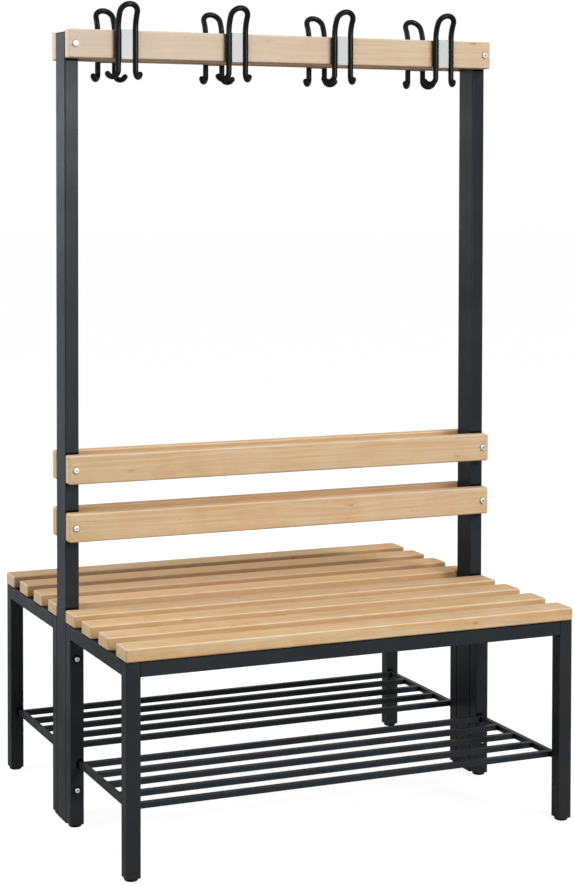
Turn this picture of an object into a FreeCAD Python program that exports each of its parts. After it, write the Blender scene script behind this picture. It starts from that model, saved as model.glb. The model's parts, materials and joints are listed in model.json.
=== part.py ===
import FreeCAD, Part
import math
import os

# Double-sided cloakroom bench: two slatted benches with shoe racks, back to back on two posts.
# The posts also carry backrest boards and two coat rails with hooks.
# Millimetres. X runs along the bench, Y across it with the front side at -Y, and Z up from the floor.
# The origin is on the floor, midway between the posts. The rear side is the front side turned half a turn.

Vector = FreeCAD.Vector
UP = Vector(0, 0, 1)
ALONG = Vector(1, 0, 0)
ACROSS = Vector(0, 1, 0)

doc = FreeCAD.newDocument("cloakroom_bench")
sheet = doc.addObject("Spreadsheet::Sheet", "Sizes")

# The driving sizes, in millimetres, degrees or counts.
SIZES = {
    # Bench frame: square tube legs and rails, welded edge to edge.
    "bench_width": 1000,
    "bench_depth": 370,
    "frame_top": 426,
    "foot_height": 6,
    "leg_size": 30,
    "leg_wall": 1.5,
    "leg_corner": 2,
    "rail_size": 30,
    "rail_wall": 1.5,
    "rail_corner": 2,
    # Seat slats.
    "slat_count": 4,
    "slat_width": 60,
    "slat_thick": 27,
    "slat_edge": 4,
    "slat_overhang": 2,
    "slat_end_overhang": 1,
    "slat_post_gap": 0.5,
    # Posts and their plastic plugs.
    "post_width": 30,
    "post_depth": 60,
    "post_wall": 2,
    "post_corner": 2.5,
    "post_top": 1657,
    "plug_flange": 4.5,
    "plug_edge": 1.5,
    "plug_insert": 13,
    "plug_gap": 0.2,
    # Backrest boards and the coat rail boards.
    "board_height": 60,
    "board_thick": 27,
    "board_edge": 4,
    "coat_rail_over_post": 8,
    "lower_back_rise": 175,
    "back_pitch": 121,
    # Shoe rack of thin square tube.
    "rack_centre": 134.5,
    "rack_bar": 12,
    "rack_bar_wall": 1.2,
    "rack_bar_corner": 1,
    "rack_bar_count": 5,
    "rack_side_inset": 17,
    "rack_end_inset": 6.5,
    # Coat hooks: one bent rod each, with a curl at both lower ends.
    "hook_count": 4,
    "hook_rod": 12,
    "hook_spread": 38.4,
    "hook_stand_off": 7.7,
    "hook_curl_radius": 13.6,
    "hook_curl_angle": 148,
    "hook_heading_angle": 42,
    "hook_drop": 67,
    "hook_rise": 82.3,
    "hook_bend_start": 31.5,
    "hook_bend_radius": 62,
    "hook_lean_angle": 30.5,
    # Hook plate between the legs of a hook.
    "plate_height": 62,
    "plate_proud": 1.5,
    "plate_rod_gap": 0.2,
    "plate_edge": 0.8,
    # Round foot glides with a square plug.
    "glide_dia": 28,
    "glide_edge": 3,
    "glide_insert": 20,
    "glide_gap": 0.2,
    # Socket button bolts that hold the benches and the boards to the posts.
    "bolt_dia": 6,
    "bolt_hole_gap": 0.3,
    "bolt_socket": 4,
    "bolt_socket_depth": 2,
    "bench_bolt_top_inset": 71,
    "bench_bolt_foot_inset": 73,
    "bench_head_dia": 11,
    "bench_head_height": 3.3,
    "board_head_dia": 13.5,
    "board_head_height": 4,
    "head_round": 2.4,
    # Flush threaded inserts in the post walls.
    "insert_dia": 9,
    "insert_length": 14,
    "insert_collar_dia": 11.5,
    "insert_collar": 3,
    "insert_bore_gap": 0.1,
    # Screws under the slats and behind the hook plates.
    "slat_screw_dia": 4.5,
    "slat_screw_bite": 18,
    "slat_screw_reach": 250,
    "slat_screw_point": 5,
    "hook_screw_dia": 5,
    "hook_screw_bite": 7,
    "hook_screw_spread": 34,
    "screw_head_dia": 9,
    "screw_head_height": 3,
    "screw_head_round": 1.8,
    "screw_hole_gap": 0.25,
    # How far a cut runs past the faces that it opens.
    "overrun": 1,
}

for number, (alias, value) in enumerate(SIZES.items(), start=1):
    sheet.set("A%d" % number, alias)
    sheet.set("B%d" % number, str(value))
    sheet.setAlias("B%d" % number, alias)
doc.recompute()


def size(alias):
    """A driving size, read back from the sheet."""
    return float(sheet.get(alias))


def value(expression):
    """The number that an expression of the sheet stands for."""
    return float(sheet.evalExpression(expression))


# Sizes that follow from the driving ones, as expressions for the document.
POST_FACE = "Sizes.post_depth / 2"
HALF_WIDTH = "Sizes.bench_width / 2"
HALF_LEG = "Sizes.leg_size / 2"
LEG_X = "(Sizes.bench_width - Sizes.leg_size) / 2"
INNER_LEG_Y = "(%s + %s)" % (POST_FACE, HALF_LEG)
OUTER_LEG_Y = "(%s + Sizes.bench_depth - %s)" % (POST_FACE, HALF_LEG)
BENCH_MIDDLE_Y = "(%s + Sizes.bench_depth / 2)" % POST_FACE
LEG_LENGTH = "(Sizes.frame_top - Sizes.foot_height)"
LONG_RAIL_LENGTH = "(Sizes.bench_width - 2 * Sizes.leg_size)"
END_RAIL_LENGTH = "(Sizes.bench_depth - 2 * Sizes.leg_size)"
RAIL_Z = "(Sizes.frame_top - Sizes.rail_size / 2)"
INNER_RAIL_Y = "(%s + Sizes.rail_size / 2)" % POST_FACE
OUTER_RAIL_Y = "(%s + Sizes.bench_depth - Sizes.rail_size / 2)" % POST_FACE
END_RAIL_X = "(Sizes.bench_width - Sizes.rail_size) / 2"
SLAT_SPAN = "(Sizes.bench_depth + Sizes.slat_overhang - Sizes.slat_post_gap - Sizes.slat_width)"
SLAT_PITCH = "(%s / (Sizes.slat_count - 1))" % SLAT_SPAN
SLAT_FIRST_Y = "(%s + Sizes.slat_post_gap + Sizes.slat_width / 2)" % POST_FACE
SLAT_LENGTH = "(Sizes.bench_width + 2 * Sizes.slat_end_overhang)"
SLAT_Z = "(Sizes.frame_top + Sizes.slat_thick / 2)"
POST_X = "(Sizes.bench_width - Sizes.post_width) / 2"
POST_LENGTH = "(Sizes.post_top - Sizes.foot_height)"
BOARD_Y = "(%s + Sizes.board_thick / 2)" % POST_FACE
COAT_RAIL_Z = "(Sizes.post_top + Sizes.coat_rail_over_post - Sizes.board_height / 2)"
LOWER_BACK_Z = "(Sizes.frame_top + Sizes.slat_thick + Sizes.lower_back_rise)"
UPPER_BACK_Z = "(%s + Sizes.back_pitch)" % LOWER_BACK_Z
BENCH_BOLT_HEIGHTS = [
    "(Sizes.frame_top - Sizes.bench_bolt_top_inset)",
    "(Sizes.foot_height + Sizes.bench_bolt_foot_inset)",
]
RACK_SIDE_X = "(%s - Sizes.rack_side_inset - Sizes.rack_bar / 2)" % HALF_WIDTH
RACK_BAR_LENGTH = "(Sizes.bench_width - 2 * (Sizes.rack_side_inset + Sizes.rack_bar))"
HOOK_PITCH = "(Sizes.bench_width / Sizes.hook_count)"
HOOK_SCREW_Z = "Sizes.hook_screw_spread / 2"
BOLT_HOLE_RADIUS = "(Sizes.bolt_dia / 2 + Sizes.bolt_hole_gap)"
SLAT_SCREW_HOLE_RADIUS = "(Sizes.slat_screw_dia / 2 + Sizes.screw_hole_gap)"
HOOK_SCREW_HOLE_RADIUS = "(Sizes.hook_screw_dia / 2 + Sizes.screw_hole_gap)"

FRONT, REAR = 1, -1
SIDES = {"front": FRONT, "rear": REAR}
ENDS = {"left": -1, "right": 1}
BOARD_CENTRES = {"coat_rail": COAT_RAIL_Z, "upper_backrest": UPPER_BACK_Z, "lower_backrest": LOWER_BACK_Z}
nodes = []


def bind(item, **expressions):
    """Ties properties to expressions; a double underscore stands for the dot of a nested one."""
    for name, text in expressions.items():
        item.setExpression(name.replace("__", "."), text)


def at(item, x="0", y="0", z="0"):
    """Ties the place of a feature or a piece to expressions."""
    bind(item, Placement__Base__x=x, Placement__Base__y=y, Placement__Base__z=z)


def piece(label):
    """An empty body for one node."""
    body = doc.addObject("PartDesign::Body", label)
    body.Label = label
    nodes.append(body)
    return body


def place(body, side, x, out, z):
    """Stands a body on the front or rear side; out is the distance from the middle plane."""
    if side == REAR:
        body.Placement = FreeCAD.Placement(Vector(), FreeCAD.Rotation(UP, 180))
    at(body, "%d * (%s)" % (side, x), "%d * (%s)" % (-side, out), z)


def block(body, kind, lengths, corner=None):
    """Adds or cuts a box; it is centred unless its lowest corner is given."""
    box = body.newObject("PartDesign::%sBox" % kind, "%s_box" % kind.lower())
    bind(box, Length=lengths[0], Width=lengths[1], Height=lengths[2])
    corner = corner or ["-(%s) / 2" % length for length in lengths]
    at(box, *corner)
    return box


def rod(body, kind, radius, length, x="0", y="0", z="0", turn=None):
    """Adds or cuts a cylinder that rises from its place, or runs along turn's new axis."""
    bar = body.newObject("PartDesign::%sCylinder" % kind, "%s_rod" % kind.lower())
    if turn:
        bar.Placement = FreeCAD.Placement(Vector(), turn)
    bind(bar, Radius=radius, Height=length)
    at(bar, x, y, z)
    return bar


TO_BACK = FreeCAD.Rotation(UP, ACROSS)


def through_hole(body, radius, depth, x="0", z="0"):
    """Cuts a hole across the piece, from face to face in Y, centred on its middle plane."""
    start = "-(%s) / 2 - Sizes.overrun" % depth
    return rod(body, "Subtractive", radius, "%s + 2 * Sizes.overrun" % depth, x, start, z, TO_BACK)


def upright_hole(body, radius, depth, x="0", y="0"):
    """Cuts a hole from top to bottom, centred on the piece's middle height."""
    start = "-(%s) / 2 - Sizes.overrun" % depth
    return rod(body, "Subtractive", radius, "%s + 2 * Sizes.overrun" % depth, x, y, start)


def round_edges(body, base, radius, chosen):
    """Rounds the chosen edges of the body's last feature."""
    doc.recompute()
    names = ["Edge%d" % i for i, edge in enumerate(base.Shape.Edges, start=1) if chosen(edge)]
    fillet = body.newObject("PartDesign::Fillet", "rounding")
    fillet.Base = (base, names)
    bind(fillet, Radius=radius)
    return fillet


def parallel_to(axis):
    """Picks the straight edges that run along an axis."""
    def chosen(edge):
        ends = [vertex.Point for vertex in edge.Vertexes]
        return len(ends) == 2 and (ends[1] - ends[0]).cross(axis).Length < Part.Precision.confusion()
    return chosen


def circle_at(height):
    """Picks the full circles that lie at a height."""
    def chosen(edge):
        level = abs(edge.BoundBox.ZMin - height) + abs(edge.BoundBox.ZMax - height)
        return len(edge.Vertexes) == 1 and level < Part.Precision.confusion()
    return chosen


def tube(label, lengths, wall, corner, axis):
    """A rounded rectangular tube, open at both ends, centred on its place and running along an axis."""
    body = piece(label)
    outside = block(body, "Additive", lengths)
    round_edges(body, outside, corner, parallel_to(axis))
    hollow = ["%s - 2 * %s" % (length, wall) for length in lengths]
    longest = [ALONG, ACROSS, UP].index(axis)
    hollow[longest] = "%s + 2 * Sizes.overrun" % lengths[longest]
    block(body, "Subtractive", hollow)
    return body


def timber(label, length, depth, height, edge):
    """A planed board with every edge rounded, centred on its place."""
    body = piece(label)
    plain = block(body, "Additive", [length, depth, height])
    round_edges(body, plain, edge, lambda _: True)
    return body


def legs(side_name, side):
    """Four legs of one bench; the inner pair takes the bolts into the posts."""
    for end_name, end in ENDS.items():
        for row_name, out in (("inner", INNER_LEG_Y), ("outer", OUTER_LEG_Y)):
            label = "%s_%s_%s_leg" % (side_name, row_name, end_name)
            body = tube(label, ["Sizes.leg_size", "Sizes.leg_size", LEG_LENGTH], "Sizes.leg_wall",
                        "Sizes.leg_corner", UP)
            middle = "((Sizes.frame_top + Sizes.foot_height) / 2)"
            if row_name == "inner":
                for height in BENCH_BOLT_HEIGHTS:
                    through_hole(body, BOLT_HOLE_RADIUS, "Sizes.leg_size", z="%s - %s" % (height, middle))
            place(body, side, "%d * %s" % (end, LEG_X), out, middle)


def rails(side_name, side):
    """Four rails between the legs of one bench, drilled for the slat screws."""
    for row_name, out in (("inner", INNER_RAIL_Y), ("outer", OUTER_RAIL_Y)):
        body = tube("%s_%s_long_rail" % (side_name, row_name),
                    [LONG_RAIL_LENGTH, "Sizes.rail_size", "Sizes.rail_size"], "Sizes.rail_wall",
                    "Sizes.rail_corner", ALONG)
        for end in ENDS.values():
            upright_hole(body, SLAT_SCREW_HOLE_RADIUS, "Sizes.rail_size",
                         x="%d * Sizes.slat_screw_reach" % end)
        place(body, side, "0", out, RAIL_Z)
    for end_name, end in ENDS.items():
        body = tube("%s_%s_end_rail" % (side_name, end_name),
                    ["Sizes.rail_size", END_RAIL_LENGTH, "Sizes.rail_size"], "Sizes.rail_wall",
                    "Sizes.rail_corner", ACROSS)
        for row in range(1, int(size("slat_count")) - 1):
            upright_hole(body, SLAT_SCREW_HOLE_RADIUS, "Sizes.rail_size",
                         y="%s - %s" % (BENCH_MIDDLE_Y, slat_out(row)))
        place(body, side, "%d * %s" % (end, END_RAIL_X), BENCH_MIDDLE_Y, RAIL_Z)


def slat_out(row):
    """How far a slat's middle lies from the middle plane; row 0 is beside the posts."""
    return "(%s + %d * %s)" % (SLAT_FIRST_Y, row, SLAT_PITCH)


def slat_screw_places(row):
    """Where the two screws of a slat stand, as X and the distance out from the middle plane."""
    last = int(size("slat_count")) - 1
    if row == 0:
        return [("%d * Sizes.slat_screw_reach" % end, INNER_RAIL_Y) for end in ENDS.values()]
    if row == last:
        return [("%d * Sizes.slat_screw_reach" % end, OUTER_RAIL_Y) for end in ENDS.values()]
    return [("%d * %s" % (end, END_RAIL_X), slat_out(row)) for end in ENDS.values()]


def slats(side_name, side):
    """The seat slats of one bench, with a blind hole for each screw from below."""
    for row in range(int(size("slat_count"))):
        body = timber("%s_slat_%d" % (side_name, row + 1), SLAT_LENGTH, "Sizes.slat_width",
                      "Sizes.slat_thick", "Sizes.slat_edge")
        for x, out in slat_screw_places(row):
            rod(body, "Subtractive", SLAT_SCREW_HOLE_RADIUS,
                "Sizes.slat_screw_bite + Sizes.slat_screw_point + Sizes.overrun", x,
                "%s - %s" % (slat_out(row), out), "-Sizes.slat_thick / 2 - Sizes.overrun")
        place(body, side, "0", slat_out(row), SLAT_Z)


def rack(side_name, side):
    """The shoe rack of one bench: bars along it, between a side bar at each end."""
    bars = piece("%s_rack_bars" % side_name)
    step = "((%s - 2 * Sizes.rack_end_inset - Sizes.rack_bar) / (Sizes.rack_bar_count - 1))" % END_RAIL_LENGTH
    first = "(-%s / 2 + Sizes.rack_end_inset + Sizes.rack_bar / 2)" % END_RAIL_LENGTH
    places = [("0", "%s + %d * %s" % (first, row, step)) for row in range(int(size("rack_bar_count")))]
    rack_tubes(bars, places, RACK_BAR_LENGTH, ALONG)
    place(bars, side, "0", BENCH_MIDDLE_Y, "Sizes.rack_centre")
    sides = piece("%s_rack_side_bars" % side_name)
    places = [("%d * %s" % (end, RACK_SIDE_X), "0") for end in ENDS.values()]
    rack_tubes(sides, places, END_RAIL_LENGTH, ACROSS)
    place(sides, side, "0", BENCH_MIDDLE_Y, "Sizes.rack_centre")


def rack_tubes(body, places, length, axis):
    """Parallel square tubes in one body, each centred at an X and a Y."""
    body.AllowCompound = True
    run = [ALONG, ACROSS, UP].index(axis)
    outer = ["Sizes.rack_bar"] * 3
    outer[run] = length
    inner = ["Sizes.rack_bar - 2 * Sizes.rack_bar_wall"] * 3
    inner[run] = "%s + 2 * Sizes.overrun" % length
    for x, y in places:
        last = block(body, "Additive", outer, corner_at(outer, x, y))
    round_edges(body, last, "Sizes.rack_bar_corner", parallel_to(axis))
    for x, y in places:
        block(body, "Subtractive", inner, corner_at(inner, x, y))


def corner_at(lengths, x, y):
    """The lowest corner of a box that is centred at an X and a Y, at mid height."""
    return ["%s - (%s) / 2" % (middle, length) for middle, length in zip((x, y, "0"), lengths)]


def posts():
    """Two posts, drilled through for the threaded inserts on both faces."""
    for end_name, end in ENDS.items():
        body = tube("%s_post" % end_name, ["Sizes.post_width", "Sizes.post_depth", POST_LENGTH],
                    "Sizes.post_wall", "Sizes.post_corner", UP)
        middle = "((Sizes.post_top + Sizes.foot_height) / 2)"
        for height in bolt_heights():
            through_hole(body, "Sizes.insert_dia / 2", "Sizes.post_depth", z="%s - %s" % (height, middle))
        place(body, FRONT, "%d * %s" % (end, POST_X), "0", middle)


def bolt_heights():
    """The heights of all bolts on a post."""
    return BENCH_BOLT_HEIGHTS + list(BOARD_CENTRES.values())


def hook_x(number):
    """The place of a hook along its coat rail."""
    return "((%d + 0.5) * %s - %s)" % (number, HOOK_PITCH, HALF_WIDTH)


def boards(side_name, side):
    """The coat rail and the two backrest boards of one side."""
    for board_name, centre in BOARD_CENTRES.items():
        body = timber("%s_%s_board" % (side_name, board_name), "Sizes.bench_width", "Sizes.board_thick",
                      "Sizes.board_height", "Sizes.board_edge")
        for end in ENDS.values():
            through_hole(body, BOLT_HOLE_RADIUS, "Sizes.board_thick", x="%d * %s" % (end, POST_X))
        if board_name == "coat_rail":
            for number in range(int(size("hook_count"))):
                for end in ENDS.values():
                    through_hole(body, HOOK_SCREW_HOLE_RADIUS, "Sizes.board_thick", hook_x(number),
                                 "%d * %s" % (end, HOOK_SCREW_Z))
        place(body, side, "0", BOARD_Y, centre)


def hook_plate(label):
    """A plate that seats both legs of a hook and rises between them; its back is at Y = 0."""
    body = piece(label)
    height = "Sizes.plate_height"
    seat = "(Sizes.hook_stand_off - Sizes.hook_rod / 2 - Sizes.plate_rod_gap)"
    rise = "(Sizes.hook_stand_off + Sizes.plate_proud)"
    ridge = "(Sizes.hook_spread - Sizes.hook_rod - 2 * Sizes.plate_rod_gap)"
    block(body, "Additive", ["Sizes.hook_spread", seat, height],
          ["-Sizes.hook_spread / 2", "-" + seat, "-Sizes.plate_height / 2"])
    raised = block(body, "Additive", [ridge, rise, height],
                   ["-%s / 2" % ridge, "-" + rise, "-Sizes.plate_height / 2"])
    front = -(size("hook_stand_off") + size("plate_proud"))

    def on_front(edge):
        return abs(edge.BoundBox.YMax - front) < Part.Precision.confusion()
    round_edges(body, raised, "Sizes.plate_edge", on_front)
    for end in ENDS.values():
        rod(body, "Subtractive", "Sizes.hook_screw_dia / 2", "Sizes.hook_screw_bite + Sizes.overrun",
            "0", "-Sizes.hook_screw_bite", "%d * %s" % (end, HOOK_SCREW_Z), TO_BACK)
    return body


def hook_route():
    """The middle line of a hook's rod: curl, leg, bend, arch, and the same back down the other side."""
    half = size("hook_spread") / 2
    stand = -size("hook_stand_off")
    radius = size("hook_curl_radius")
    heading = math.radians(size("hook_heading_angle"))
    lean = math.radians(size("hook_lean_angle"))
    bend = size("hook_bend_radius")
    tilted = Vector(0, -math.sin(lean), math.cos(lean))
    bend_end = Vector(0, stand - bend * (1 - math.cos(lean)), size("hook_bend_start") + bend * math.sin(lean))
    arch_top = bend_end + tilted * ((size("hook_rise") - bend_end.z) / math.cos(lean))
    arch_foot = arch_top - tilted * half

    def one_side(end):
        """From the tip of the curl up to the foot of the arch, on the left or the right."""
        sideways = ALONG * end
        outward = sideways * math.sin(heading) + ACROSS * math.cos(heading)
        leg = sideways * half + ACROSS * stand
        leg_foot = leg + UP * (radius - size("hook_drop"))
        curl_middle = leg_foot + outward * radius

        def on_curl(turn):
            angle = math.radians(turn)
            return curl_middle - outward * (radius * math.cos(angle)) - UP * (radius * math.sin(angle))
        turn = size("hook_curl_angle")
        bend_start = leg + UP * size("hook_bend_start")
        bend_middle = bend_start - ACROSS * bend
        halfway = bend_middle + ACROSS * (bend * math.cos(lean / 2)) + UP * (bend * math.sin(lean / 2))
        return [
            Part.Arc(on_curl(turn), on_curl(turn / 2), leg_foot).toShape(),
            Part.LineSegment(leg_foot, bend_start).toShape(),
            Part.Arc(bend_start, halfway, sideways * half + bend_end).toShape(),
            Part.LineSegment(sideways * half + bend_end, sideways * half + arch_foot).toShape(),
        ]
    arch = Part.Arc(arch_foot - ALONG * half, arch_top, arch_foot + ALONG * half).toShape()
    edges = one_side(-1) + [arch] + one_side(1)[::-1]
    return Part.Wire(Part.__sortEdges__(edges))


def hook_shape():
    """The hook's rod, swept along its route, with a round tip at both ends."""
    route = hook_route()
    radius = size("hook_rod") / 2
    first = route.OrderedEdges[0]
    start = first.valueAt(first.FirstParameter)
    section = Part.Wire(Part.makeCircle(radius, start, first.tangentAt(first.FirstParameter)))
    swept = route.makePipeShell([section], True, False)
    ends = (route.OrderedVertexes[0], route.OrderedVertexes[-1])
    tips = [Part.makeSphere(radius, vertex.Point) for vertex in ends]
    return swept.fuse(tips).Solids[0]


def hooks(side_name, side):
    """The bent rods and the plates on one coat rail."""
    shape = hook_shape()
    face = value(POST_FACE) + size("board_thick")
    for number in range(int(size("hook_count"))):
        plate = hook_plate("%s_hook_plate_%d" % (side_name, number + 1))
        place(plate, side, hook_x(number), POST_FACE + " + Sizes.board_thick", COAT_RAIL_Z)
        label = "%s_hook_%d" % (side_name, number + 1)
        bent = doc.addObject("Part::Feature", label)
        bent.Label = label
        bent.Shape = shape
        where = Vector(side * value(hook_x(number)), -side * face, value(COAT_RAIL_Z))
        bent.Placement = FreeCAD.Placement(where, FreeCAD.Rotation(UP, 0 if side == FRONT else 180))
        nodes.append(bent)


def pattern(label):
    """A body that is copied into a group and isn't written by itself."""
    body = doc.addObject("PartDesign::Body", label)
    body.Label = label
    return body


def group(label, body, placements):
    """One node of identical small pieces, each a solid of its own."""
    doc.recompute()
    copies = [body.Shape.copy() for _ in placements]
    for shape, placement in zip(copies, placements):
        shape.Placement = placement
    item = doc.addObject("Part::Feature", label)
    item.Label = label
    item.Shape = Part.makeCompound(copies)
    nodes.append(item)


def glide():
    """A round foot with a square plug, standing on the floor at its place."""
    body = pattern("glide_pattern")
    disc = rod(body, "Additive", "Sizes.glide_dia / 2", "Sizes.foot_height")
    round_edges(body, disc, "Sizes.glide_edge", circle_at(0))
    width = "(Sizes.leg_size - 2 * Sizes.leg_wall - 2 * Sizes.glide_gap)"
    block(body, "Additive", [width, width, "Sizes.glide_insert"],
          ["-%s / 2" % width, "-%s / 2" % width, "Sizes.foot_height"])
    return body


def post_plug():
    """A flat plug with its insert downwards; the flange's lower face is at its place."""
    body = pattern("post_plug_pattern")
    flange = block(body, "Additive", ["Sizes.post_width", "Sizes.post_depth", "Sizes.plug_flange"],
                   ["-Sizes.post_width / 2", "-Sizes.post_depth / 2", "0"])
    corners = round_edges(body, flange, "Sizes.post_corner", parallel_to(UP))
    top = size("plug_flange")

    def on_top(edge):
        return abs(edge.BoundBox.ZMin - top) < Part.Precision.confusion()
    round_edges(body, corners, "Sizes.plug_edge", on_top)
    width = "(Sizes.post_width - 2 * Sizes.post_wall - 2 * Sizes.plug_gap)"
    depth = "(Sizes.post_depth - 2 * Sizes.post_wall - 2 * Sizes.plug_gap)"
    block(body, "Additive", [width, depth, "Sizes.plug_insert"],
          ["-%s / 2" % width, "-%s / 2" % depth, "-Sizes.plug_insert"])
    return body


def button_bolt(label, head_dia, head_height, grip):
    """A socket button bolt: the head rises from its place and the shank hangs below it."""
    body = pattern(label)
    head = rod(body, "Additive", "%s / 2" % head_dia, head_height)
    round_edges(body, head, "Sizes.head_round", circle_at(value(head_height)))
    length = "(%s + Sizes.insert_length)" % grip
    rod(body, "Additive", "Sizes.bolt_dia / 2", length, z="-" + length)
    socket = body.newObject("PartDesign::SubtractivePrism", "socket")
    bind(socket, Circumradius="Sizes.bolt_socket / (2 * cos(30))",
         Height="Sizes.bolt_socket_depth + Sizes.overrun")
    at(socket, z="%s - Sizes.bolt_socket_depth" % head_height)
    return body


def threaded_insert():
    """A flush insert for a post wall: its mouth is at its place and it runs down from there."""
    body = pattern("insert_pattern")
    rod(body, "Additive", "Sizes.insert_dia / 2", "Sizes.insert_length", z="-Sizes.insert_length")
    rod(body, "Additive", "Sizes.insert_collar_dia / 2", "Sizes.insert_collar",
        z="-Sizes.post_wall - Sizes.insert_collar")
    rod(body, "Subtractive", "Sizes.bolt_dia / 2 + Sizes.insert_bore_gap",
        "Sizes.insert_length + 2 * Sizes.overrun", z="-Sizes.insert_length - Sizes.overrun")
    return body


def screw(label, diameter, shank, point=None):
    """A round head screw: the head hangs below its place and the shank rises above it."""
    body = pattern(label)
    head = rod(body, "Additive", "Sizes.screw_head_dia / 2", "Sizes.screw_head_height",
               z="-Sizes.screw_head_height")
    round_edges(body, head, "Sizes.screw_head_round", circle_at(-size("screw_head_height")))
    rod(body, "Additive", "%s / 2" % diameter, shank)
    if point:
        tip = body.newObject("PartDesign::AdditiveCone", "tip")
        bind(tip, Radius1="%s / 2" % diameter, Radius2="0", Height=point)
        at(tip, z=shank)
    return body


def facing_out(side):
    """Turns a piece's upward axis to point out of the front or rear face."""
    return FreeCAD.Rotation(UP, ACROSS * -side)


def small_pieces():
    """Glides, plugs and fasteners, each kind one node."""
    post_x = value(POST_X)
    face = value(POST_FACE)
    centres = [value(text) for text in BOARD_CENTRES.values()]
    bench_heights = [value(text) for text in BENCH_BOLT_HEIGHTS]
    no_turn = FreeCAD.Rotation()
    over = FreeCAD.Rotation(ALONG, 180)
    leg_places = [(end * value(LEG_X), side * value(out))
                  for end in ENDS.values() for side in SIDES.values() for out in (INNER_LEG_Y, OUTER_LEG_Y)]
    group("glides", glide(), [FreeCAD.Placement(Vector(x, y, 0), no_turn) for x, y in leg_places])
    plug = post_plug()
    group("post_top_caps", plug,
          [FreeCAD.Placement(Vector(end * post_x, 0, size("post_top")), no_turn) for end in ENDS.values()])
    group("post_foot_plugs", plug,
          [FreeCAD.Placement(Vector(end * post_x, 0, size("foot_height")), over) for end in ENDS.values()])

    def on_posts(distance, heights):
        return [FreeCAD.Placement(Vector(end * post_x, -side * distance, height), facing_out(side))
                for side in SIDES.values() for end in ENDS.values() for height in heights]
    bench_bolt = button_bolt("bench_bolt_pattern", "Sizes.bench_head_dia", "Sizes.bench_head_height",
                             "Sizes.leg_size")
    group("bench_bolts", bench_bolt, on_posts(face + size("leg_size"), bench_heights))
    board_bolt = button_bolt("board_bolt_pattern", "Sizes.board_head_dia", "Sizes.board_head_height",
                             "Sizes.board_thick")
    group("board_bolts", board_bolt, on_posts(face + size("board_thick"), centres))
    group("threaded_inserts", threaded_insert(), on_posts(face, centres + bench_heights))

    slat_screw = screw("slat_screw_pattern", "Sizes.slat_screw_dia",
                       "(Sizes.rail_size + Sizes.slat_screw_bite)", "Sizes.slat_screw_point")
    under = size("frame_top") - size("rail_size")
    group("slat_screws", slat_screw,
          [FreeCAD.Placement(Vector(value(x), -side * value(out), under), no_turn)
           for side in SIDES.values() for row in range(int(size("slat_count")))
           for x, out in slat_screw_places(row)])
    hook_screw = screw("hook_screw_pattern", "Sizes.hook_screw_dia",
                       "(Sizes.board_thick + Sizes.hook_screw_bite)")
    group("hook_screws", hook_screw,
          [FreeCAD.Placement(Vector(value(hook_x(number)), -side * face,
                                    value(COAT_RAIL_Z) + end * value(HOOK_SCREW_Z)), facing_out(side))
           for side in SIDES.values() for number in range(int(size("hook_count"))) for end in ENDS.values()])


def check_and_write():
    """Refuses a document with a failed object or a broken shape, then writes each node."""
    doc.recompute()
    for item in doc.Objects:
        if "Invalid" in item.State or "Error" in item.State:
            raise RuntimeError("%s failed: %s" % (item.Label, item.State))
    for item in nodes:
        if item.Shape.isNull() or not item.Shape.isValid() or not item.Shape.Solids:
            raise RuntimeError("%s has no valid shape" % item.Label)
    os.makedirs("parts", exist_ok=True)
    for item in nodes:
        item.Shape.exportStep("parts/%s.step" % item.Label)
        print("%-28s solids %2d  volume %10.0f" % (item.Label, len(item.Shape.Solids), item.Shape.Volume))


for name, which in SIDES.items():
    legs(name, which)
    rails(name, which)
    slats(name, which)
    rack(name, which)
posts()
for name, which in SIDES.items():
    boards(name, which)
    hooks(name, which)
small_pieces()
check_and_write()
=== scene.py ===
# %% [markdown]
# # A double-sided cloakroom bench
# Two slatted beech benches stand back to back, bolted to a pair of steel posts. The posts carry
# backrest boards and, at the top, two coat rails with hooks bent from round rod. Thin square bars
# under each seat hold shoes. The solids come from the CAD model with every piece in its place, so
# this lesson is about surfaces: timber, powder coat, plastic and zinc, and then the light.

# %% Load the CAD frame
import json
import math
import random

import bmesh
import bpy
from mathutils import Matrix, Vector


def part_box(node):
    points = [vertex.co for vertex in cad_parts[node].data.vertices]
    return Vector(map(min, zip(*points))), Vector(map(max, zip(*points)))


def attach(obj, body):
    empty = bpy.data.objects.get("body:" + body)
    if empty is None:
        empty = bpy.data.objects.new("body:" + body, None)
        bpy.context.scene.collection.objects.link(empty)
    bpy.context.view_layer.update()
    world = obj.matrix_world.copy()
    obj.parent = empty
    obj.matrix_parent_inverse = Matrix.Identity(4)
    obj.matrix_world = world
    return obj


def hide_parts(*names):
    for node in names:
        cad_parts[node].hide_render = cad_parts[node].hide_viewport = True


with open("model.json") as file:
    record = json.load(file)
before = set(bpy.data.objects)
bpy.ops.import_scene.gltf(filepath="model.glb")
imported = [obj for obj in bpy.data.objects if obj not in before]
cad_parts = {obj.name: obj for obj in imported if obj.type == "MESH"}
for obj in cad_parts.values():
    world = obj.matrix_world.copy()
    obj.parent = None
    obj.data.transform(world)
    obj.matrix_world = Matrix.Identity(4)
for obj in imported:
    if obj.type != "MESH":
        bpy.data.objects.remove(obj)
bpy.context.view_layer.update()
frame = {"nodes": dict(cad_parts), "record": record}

nodes = frame["nodes"]

# %% [markdown]
# ## Small helpers for node trees
# A material is a graph, and building one by hand takes many lines that differ only in a name. A few
# helpers keep each recipe short. The first ones feed a socket with a number or with another socket,
# add a node, and make the sums, ramps and mixes that every recipe uses.

# %% Nodes, sums, ramps and mixes
def feed(tree, socket, source):
    """Links a socket to another one, or sets its plain value."""
    if isinstance(source, bpy.types.NodeSocket):
        tree.links.new(source, socket)
    else:
        socket.default_value = source


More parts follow.
